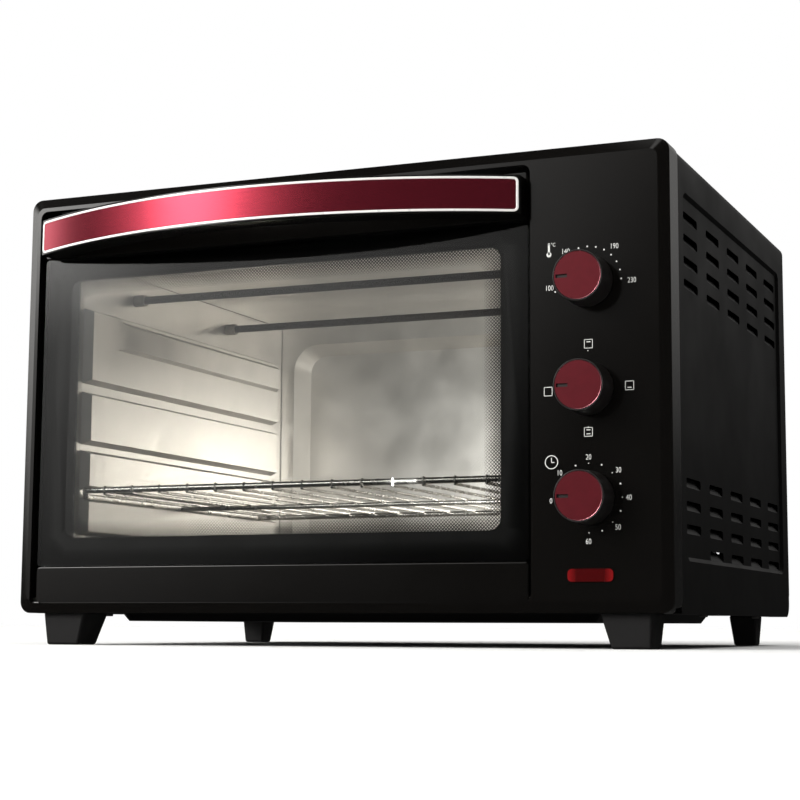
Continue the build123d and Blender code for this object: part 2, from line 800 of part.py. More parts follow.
def handle_body():
    x0 = handle_middle - handle_half
    x1 = handle_middle + handle_half
    bar = handle_ring(0, handle_bar, handle_low, handle_high)
    bar &= block(x0, x1, front - handle_reach - 1, door_face, handle_low, handle_high)
    core = Cylinder(handle_arc_radius(), handle_high - handle_low)
    core = Pos(handle_middle, handle_centre_y(), handle_z) * core
    for x in handle_screw_x:
        end = block(x - 13, x + 13, front - handle_end_reach - 2, door_face, handle_low, handle_high)
        bar += end & core
    bar -= handle_ring(1, insert_depth, insert_low, insert_high) & insert_outline(0)
    for x in handle_screw_x:
        bar -= rod_y(x, door_face - 12, door_face + 1, handle_z, 1.6)
    return bar


insert_low = handle_low + 1.5
insert_high = handle_high - 1.5
insert_depth = 1.5
trim_width = 1.8


def insert_outline(inset):
    """The rounded rectangle that bounds the handle's front plate, as seen from the front."""
    x0 = handle_middle - handle_half + 1 + inset
    x1 = handle_middle + handle_half - 1 - inset
    return panel(x0, x1, insert_low + inset, insert_high - inset, front - handle_reach - 5, front, 3.5 - inset * 0.6)


def handle_trim():
    ring = handle_ring(trim_proud, insert_depth, insert_low, insert_high)
    return (ring & insert_outline(0)) - insert_outline(trim_width)


def handle_insert():
    ring = handle_ring(trim_proud - 0.2, insert_depth, insert_low, insert_high)
    return ring & insert_outline(trim_width)


def handle_screws():
    screws = []
    for x in handle_screw_x:
        screws.append(Pos(x, door_back - 2, handle_z) * Rot(-90, 0, 0) * screw(1.6, 16, 4, 2))
    return group(screws)


def arc_band(radius, width, start_deg, end_deg):
    """A flat band along an arc about the origin."""
    outer = CenterArc((0, 0), radius + width / 2, start_deg, end_deg - start_deg)
    inner = CenterArc((0, 0), radius - width / 2, end_deg, start_deg - end_deg)
    return make_face([outer, Line(outer @ 1, inner @ 0), inner, Line(inner @ 1, outer @ 0)])


def door_stay(x):
    """A flat arm curved about the hinge: it slides through the fascia, and its tail stops the door open."""
    plane = Plane(origin=(x - stay_thickness / 2, hinge_y, hinge_z), x_dir=(0, 1, 0), z_dir=(1, 0, 0))
    tail_deg = 80 - door_open_deg
    arm = arc_band(stay_radius, 2 * stay_width - 3, tail_deg, 87)
    tail = arc_band(stay_radius, 2 * stay_width + 6, tail_deg - 4, tail_deg)
    return extrude(plane * (arm + tail), amount=stay_thickness)


# Knobs: a deep black cap on a shaft, with a coloured disc that carries the pointer slot
def knob_body(z):
    taper = facing_front(knob_x, front - 1, z) * Circle(knob_radius + 0.8)
    mouth = facing_front(knob_x, knob_front, z) * Circle(knob_radius)
    knob = loft([taper, mouth], ruled=True)
    knob -= rod_y(knob_x, front, front - 19, z, knob_radius - 2)
    knob += rod_y(knob_x, front - 4, front - 20, z, 6)
    knob -= rod_y(knob_x, knob_front - 1, knob_front + 1.2, z, knob_radius - 1)
    return knob - rod_y(knob_x, front - 3, front - 18, z, shaft_radius)


def knob_disc(z):
    disc = rod_y(knob_x, knob_front - 0.3, knob_front + 1.2, z, knob_radius - 1)
    rim_x = knob_x - knob_radius
    slot = block(rim_x + 2.5, rim_x + 11, knob_front - 1, knob_front + 0.6, z - 0.9, z + 0.9)
    return disc - slot


def knob_shaft(z):
    return rod_y(knob_x, front - 18, bracket_front + 10, z, shaft_radius)


# Every node, saved under its own name
save("front_fascia", front_fascia())
save("indicator_lens", indicator_lens())
save("indicator_lamp", indicator_lamp())
save("outer_cabinet", outer_cabinet())
save("base_pan", base_pan())
save("cabinet_screws", cabinet_screws())
right_front_foot = foot(front_foot_bottom, front_foot_top)
right_rear_foot = foot(rear_foot_bottom, rear_foot_top)
save("foot_front_right", right_front_foot)
save("foot_front_left", mirrored(right_front_foot))
save("foot_rear_right", right_rear_foot)
save("foot_rear_left", mirrored(right_rear_foot))
save("foot_screws", foot_screws())
save("rear_cover", rear_cover())
save("rear_cover_screws", rear_cover_screws())
save("wall_spacers", wall_spacers())
save("cord_gland", cord_gland())
save("cavity_liner", cavity_liner())
save("cavity_back", cavity_back())
element_names = ("upper_element_front", "upper_element_rear", "lower_element_front", "lower_element_rear")
for name, (y, z) in zip(element_names, element_places()):
    save(name, heating_element(y, z))
save("element_bushes", element_bushes())
save("wire_rack", wire_rack())
save("heat_shield", heat_shield())
save("control_bracket", control_bracket())
save("bracket_screws", bracket_screws())
for index, name in enumerate(("thermostat", "function_switch", "timer_mechanism")):
    save(name, control_body(index))
save("control_nuts", control_nuts())
save("timer_bell", timer_bell())
save("thermostat_bulb", thermostat_bulb())
save("terminal_block", terminal_block())
for name, sign in (("left", -1), ("right", 1)):
    save(f"hinge_pin_{name}", hinge_pin(sign))
    save(f"hinge_bracket_{name}", hinge_bracket(sign))
save("door_springs", door_springs())
save("door_bottom_rail", door_bottom_rail())
save("door_top_rail", door_top_rail())
save("door_glass", door_glass())
save("door_inner_frame", door_inner_frame())
save("door_stay_left", door_stay(stay_left_x))
save("door_stay_right", door_stay(stay_right_x))
save("handle_body", handle_body())
save("handle_trim", handle_trim())
save("handle_insert", handle_insert())
save("handle_screws", handle_screws())
for name, z in zip(knob_names, knob_z):
    save(f"{name}_knob", knob_body(z))
    save(f"{name}_knob_disc", knob_disc(z))
    save(f"{name}_shaft", knob_shaft(z))
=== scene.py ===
import math

import bmesh
import bpy
from mathutils import Matrix, Vector


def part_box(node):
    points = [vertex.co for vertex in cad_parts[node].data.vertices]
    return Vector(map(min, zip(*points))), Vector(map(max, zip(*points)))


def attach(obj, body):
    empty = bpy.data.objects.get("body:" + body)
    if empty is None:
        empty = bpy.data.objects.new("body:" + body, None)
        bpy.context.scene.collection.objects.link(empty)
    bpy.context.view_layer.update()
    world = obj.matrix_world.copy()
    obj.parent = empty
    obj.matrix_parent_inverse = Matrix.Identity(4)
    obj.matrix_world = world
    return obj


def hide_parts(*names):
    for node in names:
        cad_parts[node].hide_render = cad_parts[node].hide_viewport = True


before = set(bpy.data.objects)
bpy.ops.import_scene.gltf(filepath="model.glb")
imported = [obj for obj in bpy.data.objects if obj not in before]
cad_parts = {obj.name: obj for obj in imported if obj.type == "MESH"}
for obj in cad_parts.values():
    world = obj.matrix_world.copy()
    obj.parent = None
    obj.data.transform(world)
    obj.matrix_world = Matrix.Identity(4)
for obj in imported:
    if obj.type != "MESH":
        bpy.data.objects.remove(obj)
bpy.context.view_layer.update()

# Camera. A long lens stands low in front of the oven's right-hand half and looks up at it a little.
# The oven's sizes below are millimetres; Blender's are metres.
MM = 0.001
FOCAL_MM = 80.863
CAMERA_PLACE = (0.5931, -1.39144, 0.01513)
YAW, PITCH, ROLL = (math.radians(degrees) for degrees in (22.288, 7.199, 0.220))

ahead = Vector((-math.sin(YAW) * math.cos(PITCH), math.cos(YAW) * math.cos(PITCH), math.sin(PITCH)))
level = Vector((math.cos(YAW), math.sin(YAW), 0))
to_right = level * math.cos(ROLL) + level.cross(ahead) * math.sin(ROLL)
upward = to_right.cross(ahead)
camera = bpy.data.objects.new("camera", bpy.data.cameras.new("camera"))
bpy.context.scene.collection.objects.link(camera)
camera.data.sensor_width = 36
camera.data.lens = FOCAL_MM
camera.data.shift_x = -0.05
turn = Matrix((to_right, upward, -ahead)).transposed().to_4x4()
camera.matrix_world = Matrix.Translation(CAMERA_PLACE) @ turn
bpy.context.scene.camera = camera
bpy.context.scene.view_settings.view_transform = "Standard"


# Studio. The oven stands before a white backdrop. What it mirrors is a dim room with soft boxes: the main one
# at the front left with a hot core, and weaker ones far left, overhead, behind and at the right. A broad soft
# sun and a large soft box light it evenly, and a small lamp just inside the door lights the cavity.
class Signal:
    """A number, colour or vector on its way through a node tree. Sums and products of it add Math nodes."""

    def __init__(self, nodes, socket):
        self.nodes = nodes
        self.socket = socket

    def math(self, operation, first, second):
        return self.nodes.node("Math", {"operation": operation}, {0: first, 1: second})

    def __add__(self, other):
        return self.math("ADD", self, other)

    def __sub__(self, other):
        return self.math("SUBTRACT", self, other)

    def __rsub__(self, other):
        return self.math("SUBTRACT", other, self)

    def __mul__(self, other):
        return self.math("MULTIPLY", self, other)

    __radd__ = __add__
    __rmul__ = __mul__

    def between(self, low, high, to_low=0.0, to_high=1.0, ease="LINEAR"):
        """The signal's way from low to high, as a way from to_low to to_high, held at both ends."""
        ends = {1: low, 2: high, 3: to_low, 4: to_high}
        return self.nodes.node("MapRange", {"interpolation_type": ease}, {0: self, **ends})


class Nodes:
    """A node tree that grows by one method: a node's type, its settings, and its sockets' values or links."""

    def __init__(self, tree):
        self.tree = tree

    def set(self, node, sockets):
        for key, value in sockets.items():
            socket = node.inputs[key]
            if isinstance(value, Signal):
                self.tree.links.new(value.socket, socket)
            elif socket.type == "RGBA":
                socket.default_value = (*value, 1)
            else:
                socket.default_value = value

    def node(self, kind, settings, sockets, out=0):
        made = self.tree.nodes.new("ShaderNode" + kind)
        for key, value in settings.items():
            setattr(made, key, value)
        self.set(made, sockets)
        return Signal(self, made.outputs[out])

    def direction_share(self, direction, azimuth, elevation, inner, outer):
        """1 within the inner angle of a soft box's middle, and 0 beyond the outer one. All are degrees."""
        azimuth, elevation = math.radians(azimuth), math.radians(elevation)
        middle = (math.sin(azimuth) * math.cos(elevation), -math.cos(azimuth) * math.cos(elevation),
                  math.sin(elevation))
        closeness = self.node("VectorMath", {"operation": "DOT_PRODUCT"}, {0: direction, 1: middle}, "Value")
        ends = [math.cos(math.radians(angle)) for angle in (outer, inner)]
        return closeness.between(*ends, ease="SMOOTHSTEP")


ROOM_LIGHT = 0.03
# Each soft box: its name, azimuth, elevation, inner and outer angle in degrees, and its strength.
SOFT_BOXES = (("front_left", -41, 26, 8, 30, 1.5), ("front_left_core", -41, 22, 5, 15, 9),
              ("far_left", -103, 20, 14, 26, 2.6), ("overhead", 5, 68, 9, 16, 1.4),
              ("behind_right", 165, 32, 12, 30, 0.35), ("right", 80, 30, 5, 40, 0.12))

world = bpy.data.worlds.new("studio")
bpy.context.scene.world = world
world.use_nodes = True
room = Nodes(world.node_tree)
direction = room.node("TexCoord", {}, {}, "Generated")
glow = sum(power * room.direction_share(direction, *angles) for _, *angles, power in SOFT_BOXES) + ROOM_LIGHT
reflected = room.node("Background", {}, {"Color": (1, 0.985, 0.96), "Strength": glow})
backdrop = room.node("Background", {}, {"Color": (1, 1, 1), "Strength": 1.0})
seen = room.node("LightPath", {}, {}, "Is Camera Ray")
shown = room.node("MixShader", {}, {0: seen, 1: reflected, 2: backdrop})
room.set(world.node_tree.nodes["World Output"], {"Surface": shown})

sun = bpy.data.objects.new("soft_sun", bpy.data.lights.new("soft_sun", "SUN"))
sun.data.energy, sun.data.angle = 2.9, math.radians(100)
sun.rotation_euler = Vector((0.25, 0.45, -1)).to_track_quat("-Z", "Y").to_euler()
sun.visible_glossy = False
bpy.context.scene.collection.objects.link(sun)


def soft_light(name, middle, aim, width, height, watts, spread=180, mirrored=False):
    """A rectangular soft box, in metres, turned to face a point. The camera doesn't see it."""
    lamp = bpy.data.lights.new(name, "AREA")
    lamp.shape = "RECTANGLE"
    lamp.size, lamp.size_y, lamp.energy = width, height, watts
    lamp.spread = math.radians(spread)
    box = bpy.data.objects.new(name, lamp)
    box.location = middle
    box.rotation_euler = (Vector(aim) - Vector(middle)).to_track_quat("-Z", "Y").to_euler()
    box.visible_camera = False
    box.visible_glossy = mirrored
    bpy.context.scene.collection.objects.link(box)


soft_light("light_front_left", (-1.3, -1.6, 0.7), (-0.05, -0.1, 0.2), 0.9, 0.9, 16)
soft_light("light_in_cavity", (0.09, -0.14, 0.16), (-0.06, 0.2, 0.13), 0.1, 0.1, 0.8, 75, True)


class Finish(Nodes):
    """A material with one Principled shader, whose sockets are named in the call with _ for each space."""

    def __init__(self, name, **sockets):
        self.material = bpy.data.materials.new(name)
        self.material.use_nodes = True
        super().__init__(self.material.node_tree)
        self.shader = self.tree.nodes["Principled BSDF"]
        self.give(**sockets)

    def give(self, **sockets):
        self.set(self.shader, {key.replace("_", " "): value for key, value in sockets.items()})

    def millimetres(self, stretch=(1, 1, 1), middle=(0, 0, 0)):
        """The place on the piece in millimetres from a middle, stretched."""
        metres = self.node("TexCoord", {}, {}, "Object")
        shift = tuple(-part * factor for part, factor in zip(middle, stretch))
        return self.node("Mapping", {}, {"Vector": metres, "Location": shift,
                                         "Scale": tuple(factor / MM for factor in stretch)})

    def clouds(self, size, detail=2.0, stretch=(1, 1, 1)):
        """Cloudy noise from 0 to 1, with clouds about size millimetres across."""
        place = self.millimetres(stretch)
        return self.node("TexNoise", {}, {"Vector": place, "Scale": 1 / size, "Detail": detail})

    def blend(self, share, first, second):
        """A colour that goes from first to second as share goes from 0 to 1."""
        return self.node("Mix", {"data_type": "RGBA"}, {0: share, 6: first, 7: second}, 2)

    def relief(self, height, depth, strength=1.0):
        """Bumps the surface by height, whose range from 0 to 1 stands for depth millimetres."""
        bump = {"Strength": strength, "Distance": depth * MM, "Height": height}
        self.give(Normal=self.node("Bump", {}, bump))


def colour(red, green, blue):
    """A colour given as it looks on a screen, 0 to 255, as the shader's light values."""
    return tuple(round((level / 255) ** 2.2, 5) for level in (red, green, blue))


def dress(finish, *nodes):
    """Gives CAD nodes a finish."""
    for name in nodes:
        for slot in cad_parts[name].material_slots:
            slot.material = finish.material


def span(node):
    """The lowest and highest corner of a CAD node, in millimetres."""
    low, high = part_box(node)
    return low / MM, high / MM


# Table top: pale, plain and wide. It isn't part of the oven.
bm = bmesh.new()
bmesh.ops.create_circle(bm, cap_ends=True, segments=96, radius=40)
table = bpy.data.objects.new("table_top", bpy.data.meshes.new("table_top"))
bm.to_mesh(table.data)
bm.free()
bpy.context.scene.collection.objects.link(table)
table_finish = Finish("pale_table", Base_Color=(0.86, 0.86, 0.85), Roughness=0.8)
table_finish.give(Roughness=table_finish.clouds(40).between(0.3, 0.7, 0.75, 0.85))
table.data.materials.append(table_finish.material)
table.visible_glossy = False


# Outer cabinet: one sheet of steel folded over both sides and the top, with a pressed field and forty louvres
# in each side, powder coated black. Its lower and rear edges are turned in, and screws hold it there.
SHEET = 0.8
TOP_FOLD, REAR_CORNER, TURNED_IN = 8, 12, 14
FIELD_Y, FIELD_Z, FIELD_CORNER, FIELD_SLOPE, FIELD_DEPTH = (44, 382), (37.5, 308), 8, 3, 2
LOUVRE_LENGTH, LOUVRE_HEIGHT, LOUVRE_DEPTH, LOUVRE_CORNER = 42, 7, 4.5, 2.6
LOUVRE_COLUMNS = [72 + 69.5 * column for column in range(5)]
LOUVRE_TOPS = [top - 16.8 * row for top in (295, 98) for row in range(4)]

powder_coat = Finish("black_powder_coat", Base_Color=colour(13, 12, 12), Roughness=0.45, Specular_IOR_Level=0.2)
powder_coat.relief(powder_coat.clouds(0.9, 1.0), 0.05, 0.3)
powder_coat.give(Roughness=powder_coat.clouds(60).between(0.3, 0.7, 0.40, 0.48))


def faces_out(bm, inwards=False):
    """Merges doubles and turns every face outwards, or inwards."""
    bmesh.ops.remove_doubles(bm, verts=bm.verts, dist=0.01)
    bmesh.ops.recalc_face_normals(bm, faces=bm.faces)
    if inwards:
        bmesh.ops.reverse_faces(bm, faces=bm.faces)


def place(bm, name, finish, body, slot, replaces=(), smooth=40):
    """Turns a mesh drawn in millimetres into a piece of the oven that rides on a body."""
    bmesh.ops.scale(bm, vec=(MM, MM, MM), verts=bm.verts)
    mesh = bpy.data.meshes.new(name)
    bm.to_mesh(mesh)
    bm.free()
    mesh.shade_smooth()
    mesh.set_sharp_from_angle(angle=math.radians(smooth))
    piece = bpy.data.objects.new(name, mesh)
    bpy.context.scene.collection.objects.link(piece)
    piece.data.materials.append(finish.material)
    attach(piece, body)
    if replaces:
        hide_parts(*replaces)
    return piece


def round_edges(piece, width, segments=3, angle=30):
    """Rounds a piece's sharp edges by a width in millimetres."""
    rounding = piece.modifiers.new("rounded_edges", "BEVEL")
    rounding.width, rounding.segments = width * MM, segments
    rounding.limit_method, rounding.angle_limit = "ANGLE", math.radians(angle)
    rounding.harden_normals = True


def give_thickness(piece, wall):
    """Gives a sheet its wall, in millimetres, on its inner side."""
    wall_maker = piece.modifiers.new("wall", "SOLIDIFY")
    wall_maker.thickness, wall_maker.offset = wall * MM, -1


def cut_grid(bm, face, cuts):
    """Cuts a face by planes, each given as an axis and a value on it, and returns the faces that it becomes."""
    parts = [face]
    for axis, value in cuts:
        point, normal = Vector((0, 0, 0)), Vector((0, 0, 0))
        point[axis], normal[axis] = value, 1
        pieces = []
        for part in parts:
            cut = bmesh.ops.bisect_plane(bm, geom=[part, *part.edges, *part.verts], dist=1e-4, plane_co=point,
                                         plane_no=normal)
            pieces += [item for item in cut["geom"] if isinstance(item, bmesh.types.BMFace)]
        parts = pieces
    return parts


def round_corners(bm, face, radius, segments):
    """Rounds the corners of a flat four-sided face, and returns the face."""
    middle = face.calc_center_median()
    bmesh.ops.bevel(bm, geom=face.verts[:], affect="VERTICES", offset=radius, segments=segments,
                    profile=0.5, material=-1)
    rounded = [other for other in bm.faces if len(other.verts) >= 4 * segments]
    return min(rounded, key=lambda other: (other.calc_center_median() - middle).length)


def cut_out(bm, face, first, second, radius=0, segments=5):
    """Cuts a rectangle in a flat face, and rounds it. Each side is an axis, a low and a high value."""
    cuts = [(axis, value) for axis, *values in (first, second) for value in values]
    middle = face.calc_center_median()
    for axis, *values in (first, second):
        middle[axis] = sum(values) / 2
    parts = cut_grid(bm, face, cuts)
    inner = min(parts, key=lambda part: (part.calc_center_median() - middle).length)
    return round_corners(bm, inner, radius, segments) if radius else inner


def press_side(bm, side, front, bottom):
    """Presses the field and the louvres into one side of the cabinet: 1 is the right side, -1 the left."""
    wall = max((face for face in bm.faces if face.normal.x * side > 0.99), key=lambda face: face.calc_area())
    field_y = [front + value for value in FIELD_Y]
    field_z = [bottom + value for value in FIELD_Z]
    field = cut_out(bm, wall, (1, *field_y), (2, *field_z), FIELD_CORNER)
    bmesh.ops.inset_individual(bm, faces=[field], thickness=FIELD_SLOPE, depth=-FIELD_DEPTH)
    columns = [front + value for value in LOUVRE_COLUMNS]
    middles = [bottom + top - LOUVRE_HEIGHT / 2 for top in LOUVRE_TOPS]
    cuts = [(1, column + half * LOUVRE_LENGTH) for column in columns for half in (-0.5, 0.5)]
    cuts += [(2, middle + half * LOUVRE_HEIGHT) for middle in middles for half in (-0.5, 0.5)]
    parts = [(part, part.calc_center_median()) for part in cut_grid(bm, field, cuts)]
    louvres = [part for part, centre in parts if min(abs(centre.y - column) for column in columns) < 1
               and min(abs(centre.z - middle) for middle in middles) < 1]
    for louvre in louvres:
        press_louvre(bm, louvre, side)


def press_louvre(bm, face, side):
    """Pushes a louvre's upper edge inwards and opens the slit above it."""
    face = round_corners(bm, face, LOUVRE_CORNER, 3)
    slope = bmesh.ops.extrude_discrete_faces(bm, faces=[face])["faces"][0]
    lowest = min(vertex.co.z for vertex in slope.verts)
    for vertex in slope.verts:
        vertex.co.x -= side * LOUVRE_DEPTH * (vertex.co.z - lowest) / LOUVRE_HEIGHT
    bm.normal_update()
    walls = {other for edge in slope.edges for other in edge.link_faces} - {slope}
    bmesh.ops.delete(bm, geom=[wall for wall in walls if wall.normal.z < -0.7], context="FACES_ONLY")


low, high = span("outer_cabinet")
bm = bmesh.new()
bmesh.ops.create_cube(bm, size=1)
bmesh.ops.scale(bm, vec=high - low, verts=bm.verts)
bmesh.ops.translate(bm, vec=(low + high) / 2, verts=bm.verts)
bmesh.ops.delete(bm, geom=[face for face in bm.faces if face.normal.y < -0.9], context="FACES_ONLY")
for radius, fold in ((TOP_FOLD, lambda a, b: min(a.z, b.z) > high.z - 0.1 and a.x == b.x),
                     (REAR_CORNER, lambda a, b: max(a.z, b.z) < low.z + 0.1 and min(a.y, b.y) > high.y - 0.1)):
    folds = [edge for edge in bm.edges if fold(edge.verts[0].co, edge.verts[1].co)]
    bmesh.ops.bevel(bm, geom=folds, affect="EDGES", offset=radius, segments=6, profile=0.5, material=-1)
bm.normal_update()
turned = [face for face in bm.faces if abs(face.normal.x) < 0.01
          and (face.normal.y > 0.05 or face.normal.z < -0.05)]
bmesh.ops.inset_region(bm, faces=turned, thickness=TURNED_IN, depth=0, use_boundary=False, use_even_offset=True)
bmesh.ops.delete(bm, geom=turned, context="FACES_ONLY")
cabinet_front, cabinet_bottom = span("front_fascia")[0].y, low.z
for side in (1, -1):
    press_side(bm, side, cabinet_front, cabinet_bottom)
bmesh.ops.remove_doubles(bm, verts=bm.verts, dist=0.02)
cabinet = place(bm, "cabinet_wrap", powder_coat, "cabinet", "black_enamel", ["outer_cabinet"])
give_thickness(cabinet, SHEET)
round_edges(cabinet, 0.35, 2, 25)


# Base pan and rear cover: folded steel sheets, powder coated like the cabinet and screwed to it. Their CAD
# shapes stay, and only get the finish.
dress(powder_coat, "base_pan", "rear_cover")


# Front fascia: one moulding of glossy black plastic with a bevelled border. A recess holds the door, and its
# mouth leads to the cavity. It is screwed to the cabinet's front edge from behind.
BORDER, BORDER_DEPTH, FACE_CORNER, OUTER_CORNER = 8, 4, 6, 9
DOORWAY_X, DOORWAY_Z, DOORWAY_CORNER, DOORWAY_DEPTH = (-259, 166), (30.5, 352), 6, 14
MOUTH_X, MOUTH_Z, MOUTH_CORNER, MOUTH_DEPTH = (-230, 146), (67, 312), 4, 2.5
FASCIA_WALL, FASCIA_EDGE = 2.4, 1.6

gloss_plastic = Finish("gloss_black_plastic", Base_Color=colour(17, 16, 15), Roughness=0.1)
gloss_plastic.relief(gloss_plastic.clouds(25, 1.0), 0.12, 0.1)
gloss_plastic.give(Roughness=gloss_plastic.clouds(90).between(0.3, 0.7, 0.09, 0.13))


def verts_of(geometry):
    return [item for item in geometry if isinstance(item, bmesh.types.BMVert)]


def face_front(bm, verts):
    """Turns what was drawn flat on the table to face the front."""
    bmesh.ops.rotate(bm, cent=(0, 0, 0), matrix=Matrix.Rotation(math.radians(90), 3, "X"), verts=verts)


def panel(bm, x, z, y):
    """A flat rectangle that faces the front."""
    corners = bmesh.ops.create_grid(bm, x_segments=1, y_segments=1, size=0.5)["verts"]
    bmesh.ops.scale(bm, vec=(x[1] - x[0], z[1] - z[0], 1), verts=corners)
    face_front(bm, corners)
    bmesh.ops.translate(bm, vec=((x[0] + x[1]) / 2, y, (z[0] + z[1]) / 2), verts=corners)
    return corners[0].link_faces[0]


def sink(bm, face, depth):
    """Pushes a face to the back and makes walls round it."""
    sunk = bmesh.ops.extrude_discrete_faces(bm, faces=[face])["faces"][0]
    bmesh.ops.translate(bm, vec=(0, depth, 0), verts=sunk.verts)
    return sunk


low, high = span("front_fascia")
bm = bmesh.new()
face = panel(bm, (low.x + BORDER, high.x - BORDER), (low.z + BORDER, high.z - BORDER), low.y)
face = round_corners(bm, face, FACE_CORNER, 6)
rim = round_corners(bm, panel(bm, (low.x, high.x), (low.z, high.z), low.y + BORDER_DEPTH), OUTER_CORNER, 6)
rim_edges = rim.edges[:]
bmesh.ops.delete(bm, geom=[rim], context="FACES_ONLY")
bmesh.ops.bridge_loops(bm, edges=face.edges[:] + rim_edges)
side_walls = bmesh.ops.extrude_edge_only(bm, edges=rim_edges)["geom"]
bmesh.ops.translate(bm, vec=(0, high.y - low.y - BORDER_DEPTH, 0), verts=verts_of(side_walls))
doorway = cut_out(bm, face, (0, *DOORWAY_X), (2, *DOORWAY_Z), DOORWAY_CORNER)
flange = sink(bm, doorway, DOORWAY_DEPTH)
mouth = sink(bm, cut_out(bm, flange, (0, *MOUTH_X), (2, *MOUTH_Z), MOUTH_CORNER), MOUTH_DEPTH)
bmesh.ops.delete(bm, geom=[mouth], context="FACES_ONLY")
faces_out(bm)
fascia = place(bm, "fascia_moulding", gloss_plastic, "cabinet", "gloss_black", ["front_fascia"])
give_thickness(fascia, FASCIA_WALL)
round_edges(fascia, FASCIA_EDGE, 4, 20)


# Indicator lens: a bar of clear red plastic pressed into the fascia, over a small lamp. Its two ends are
# thicker and catch more light, so its colour is painted lighter towards them as a painted highlight.
LENS_DARK, LENS_PAINTED_HIGHLIGHT, LENS_ENDS = colour(62, 10, 12), colour(112, 22, 24), (10, 16)

lens_low, lens_high = span("indicator_lens")
lens_middle = (lens_low + lens_high) / 2
red_plastic = Finish("red_lens_plastic", Roughness=0.12, Coat_Weight=0.6, Coat_Roughness=0.05)
across = red_plastic.node("SeparateXYZ", {}, {0: red_plastic.millimetres(middle=lens_middle)}, "X")
from_middle = across.math("ABSOLUTE", across, 0)
# Painted highlight: the red goes from its own dark shade in the middle to a lighter red at both ends.
red_plastic.give(Base_Color=red_plastic.blend(from_middle.between(*LENS_ENDS), LENS_DARK, LENS_PAINTED_HIGHLIGHT))
dress(red_plastic, "indicator_lens")


# Dial prints: pale ink on the fascia round each knob, screen printed. They are plain numbers, dots and plain
# symbols for heat, the four ways to heat, and time. Places are millimetres from the knob's middle.
INK = 0.05
DIGIT_SIZE, DIGIT_WIDTH = 5.6, 0.78
DOT_RADIUS, TICK_RADIUS = 0.62, 0.4
DOT_RING, TICK_RING, FUNCTION_RING = 25.2, 24.6, 27.4
SYMBOL_LINE = 0.6
KNOB_X = 209.5
KNOB_Z = {"thermostat": 262, "function": 184, "timer": 106}

pale_ink = Finish("pale_ink", Base_Color=colour(205, 205, 200), Roughness=0.5)
pale_ink.give(Base_Color=pale_ink.blend(pale_ink.clouds(1.2), colour(190, 190, 186), colour(222, 222, 218)))


def printed(bm, verts, x, z):
    """Moves ink, drawn flat about the origin, to its place on the fascia."""
    face_front(bm, verts)
    bmesh.ops.translate(bm, vec=(x, cabinet_front - INK, z), verts=verts)


def print_text(bm, words, x, z, size=DIGIT_SIZE):
    """Prints a number with its middle at a place."""
    text = bpy.data.curves.new("print", "FONT")
    text.body, text.size, text.align_x, text.align_y = words, size, "CENTER", "CENTER"
    text.resolution_u, text.offset = 3, -0.02
    holder = bpy.data.objects.new("print", text)
    mesh = bpy.data.meshes.new_from_object(holder)
    before = set(bm.verts)
    bm.from_mesh(mesh)
    letters = [vertex for vertex in bm.verts if vertex not in before]
    bmesh.ops.scale(bm, vec=(DIGIT_WIDTH, 1, 1), verts=letters)
    printed(bm, letters, x, z)
    bpy.data.objects.remove(holder)
    bpy.data.curves.remove(text)
    bpy.data.meshes.remove(mesh)


def print_dot(bm, x, z, radius):
    """Prints a dot about its middle."""
    dot = bmesh.ops.create_circle(bm, cap_ends=True, segments=12, radius=radius)["verts"]
    printed(bm, dot, x, z)


def print_bar(bm, x, z, width, height, tilt=0.0):
    """Prints a bar about its middle, turned clockwise by a tilt in degrees."""
    bar = bmesh.ops.create_grid(bm, x_segments=1, y_segments=1, size=0.5)["verts"]
    bmesh.ops.scale(bm, vec=(width, height, 1), verts=bar)
    bmesh.ops.rotate(bm, cent=(0, 0, 0), matrix=Matrix.Rotation(math.radians(-tilt), 3, "Z"), verts=bar)
    printed(bm, bar, x, z)


def print_ring(bm, x, z, radius, line):
    """Prints a ring about its middle."""
    ring = bmesh.ops.create_circle(bm, cap_ends=True, segments=28, radius=radius)["verts"]
    disc = ring[0].link_faces[0]
    edge = bmesh.ops.inset_individual(bm, faces=[disc], thickness=line)["faces"]
    ring = {vertex for face in edge for vertex in face.verts}
    bmesh.ops.delete(bm, geom=[disc], context="FACES_ONLY")
    printed(bm, list(ring), x, z)


def around(radius, degrees):
    """A place on a ring, where degrees count clockwise from the top."""
    return radius * math.sin(math.radians(degrees)), radius * math.cos(math.radians(degrees))


def print_thermostat(bm, x, z):
    for words, dx, dz in (("140", -16.4, 22.6), ("190", 20.2, 23.8), ("230", 33, -1.7), ("100", -28.8, -3.6)):
        print_text(bm, words, x + dx, z + dz)
    for degrees in (-105, -30, -15, 0, 15, 30, 45, 60, 75, 90):
        dx, dz = around(DOT_RING, degrees)
        print_dot(bm, x + dx, z + dz, DOT_RADIUS)
    print_bar(bm, x - 29, z + 25, 1.5, 8)
    print_dot(bm, x - 29, z + 21.2, 1.9)
    print_dot(bm, x - 29, z + 29, 0.75)
    print_text(bm, "°C", x - 25.7, z + 28.2, 4)


def print_function(bm, x, z):
    for degrees in (0, 90, 180):
        dx, dz = around(FUNCTION_RING, degrees)
        print_dot(bm, x + dx, z + dz, TICK_RADIUS)
    for dx, dz, bars in ((0.4, 32.3, (1.4,)), (30.6, 0.9, (-1.4,)), (0, -31, (1.4, -1.4)), (-30, -0.8, ())):
        for side in (-1, 1):
            print_bar(bm, x + dx + side * 3, z + dz, 0.45, 6.6)
            print_bar(bm, x + dx, z + dz + side * 3.1, 6.2, 0.45)
        for level in bars:
            print_bar(bm, x + dx, z + dz + level, 3, SYMBOL_LINE)


